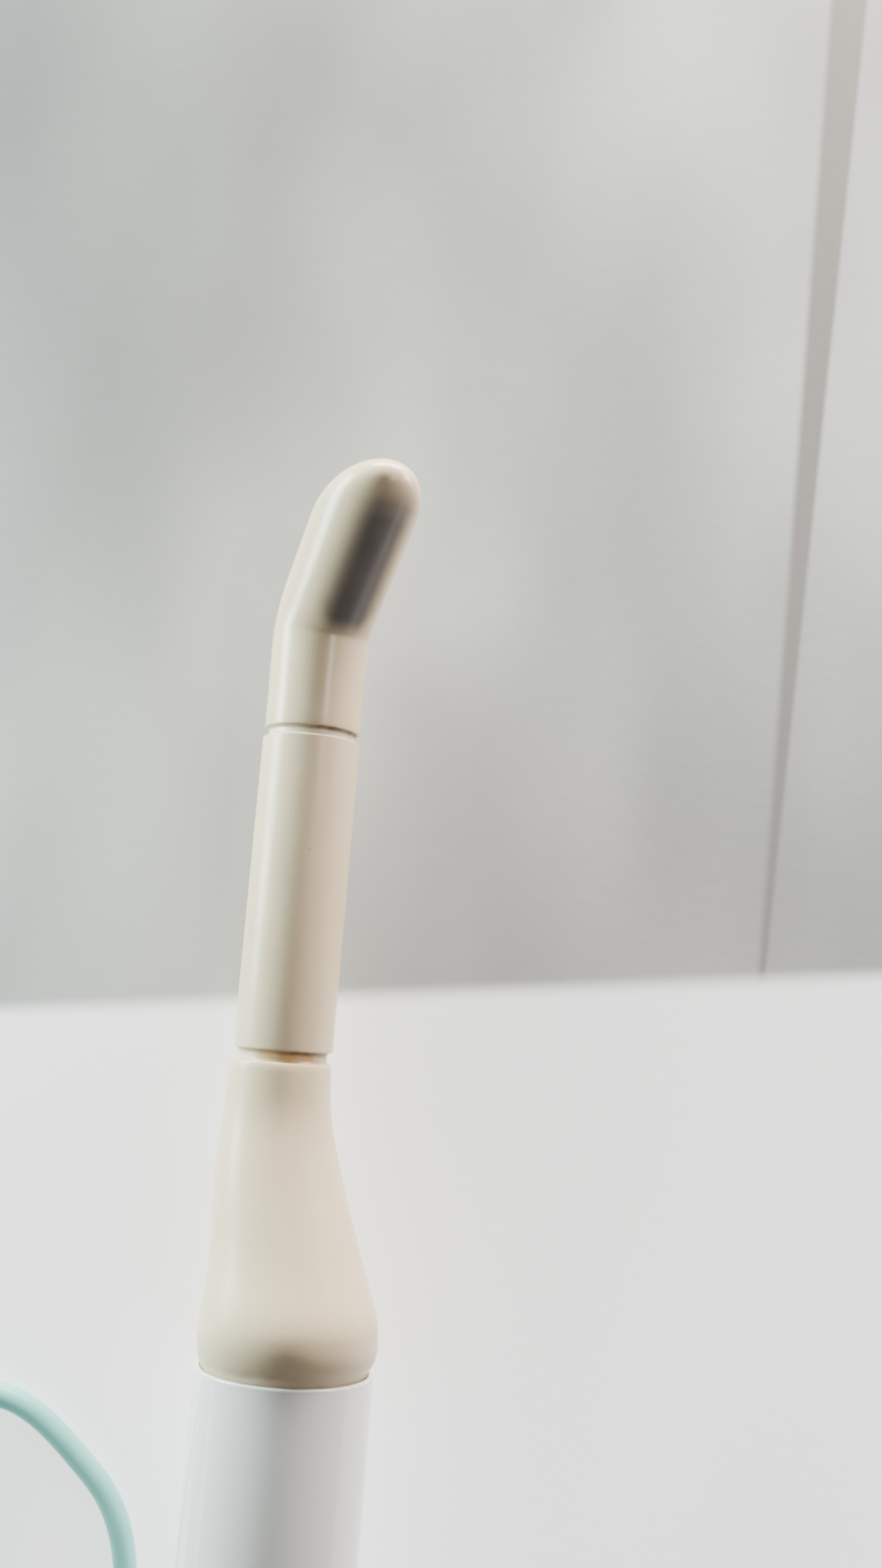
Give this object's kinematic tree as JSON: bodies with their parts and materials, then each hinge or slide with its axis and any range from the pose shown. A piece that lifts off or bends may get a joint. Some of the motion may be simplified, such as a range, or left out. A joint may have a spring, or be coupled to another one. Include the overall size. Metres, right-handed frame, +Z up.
{
  "type": "endocavity ultrasound probe",
  "caption": "Angled-tip endocavity ultrasound probe: slim sealed shaft, flared neck, smooth handle, and a coiled cable ending in a multi-pin connector with a turning lock.",
  "frame": {"origin": "centre of the probe's footprint on the surface it lies on, without the cable and the connector", "axes": "+Y along the handle's axis towards the tip, +Z up from the surface, +X to the right seen from above; the tip bends towards +Z and +X"},
  "size_m": [0.1597, 0.3862, 0.0469],
  "materials": {
    "beige_plastic": "satin, slightly translucent medical plastic",
    "ivory_plastic": "satin, aged towards ivory",
    "white_plastic": "gloss, cool white",
    "dark_lens": "dark acoustic lens",
    "matching_epoxy": "filled epoxy",
    "piezo_ceramic": "fired ceramic",
    "backing_epoxy": "filled epoxy",
    "polyimide_copper": "polyimide film with copper",
    "circuit_board": "solder mask",
    "black_socket": "moulded",
    "stainless_steel": "fine turned",
    "aluminium_sheet": "satin",
    "nickel_brass": "nickel plated",
    "seal_rubber": "matte",
    "mint_cable": "satin mint-green jacket",
    "grey_boot": "matte",
    "case_plastic": "fine moulded texture",
    "tie_fabric": "hook and loop"
  },
  "bodies": {
    "probe": {"tip_shell": "beige_plastic", "shaft_sleeve": "beige_plastic", "neck_shell": "beige_plastic", "core_tube": "ivory_plastic", "handle_shell": "white_plastic", "handle_end_cap": "white_plastic", "acoustic_lens": "dark_lens", "matching_layer": "matching_epoxy", "piezo_array": "piezo_ceramic", "backing_block": "backing_epoxy", "array_frame": "aluminium_sheet", "chassis": "aluminium_sheet", "cable_clamp_base": "aluminium_sheet", "cable_clamp_cap": "aluminium_sheet", "connector_shell": "aluminium_sheet", "connector_cable_clamp": "aluminium_sheet", "flex_ribbon_upper": "polyimide_copper", "flex_ribbon_lower": "polyimide_copper", "splice_board": "circuit_board", "interconnect_board_upper": "circuit_board", "interconnect_board_lower": "circuit_board", "connector_board": "circuit_board", "shaft_coax_bundle": "black_socket", "board_socket_front": "black_socket", "board_socket_rear": "black_socket", "board_link": "black_socket", "pin_block": "black_socket", "upper_seal_ring": "seal_rubber", "lower_seal_ring": "seal_rubber", "neck_gasket": "seal_rubber", "connector_gasket": "seal_rubber", "board_screw_1": "stainless_steel", "board_screw_2": "stainless_steel", "board_screw_3": "stainless_steel", "board_screw_4": "stainless_steel", "clamp_screw_1": "stainless_steel", "clamp_screw_2": "stainless_steel", "case_screw_1": "stainless_steel", "case_screw_2": "stainless_steel", "case_screw_3": "stainless_steel", "case_screw_4": "stainless_steel", "lock_spring_washer": "stainless_steel", "crimp_ferrule": "nickel_brass", "lock_bush": "nickel_brass", "strain_relief": "grey_boot", "connector_strain_relief": "grey_boot", "cable_run": "mint_cable", "cable_lead": "mint_cable", "cable_coil": "mint_cable", "coil_tie": "tie_fabric", "connector_lower_case": "case_plastic", "connector_upper_case": "case_plastic"},
    "lock": {"lock_lever": "white_plastic", "lock_shaft": "stainless_steel", "lock_cross_pin": "stainless_steel"}
  },
  "joints": [
    {"name": "lock_turn", "type": "hinge", "parent": "probe", "child": "lock", "pos_m": [-0.109, -0.184, 0.03], "axis": [0, 0, 1], "range_deg": [0, 90]}
  ]
}
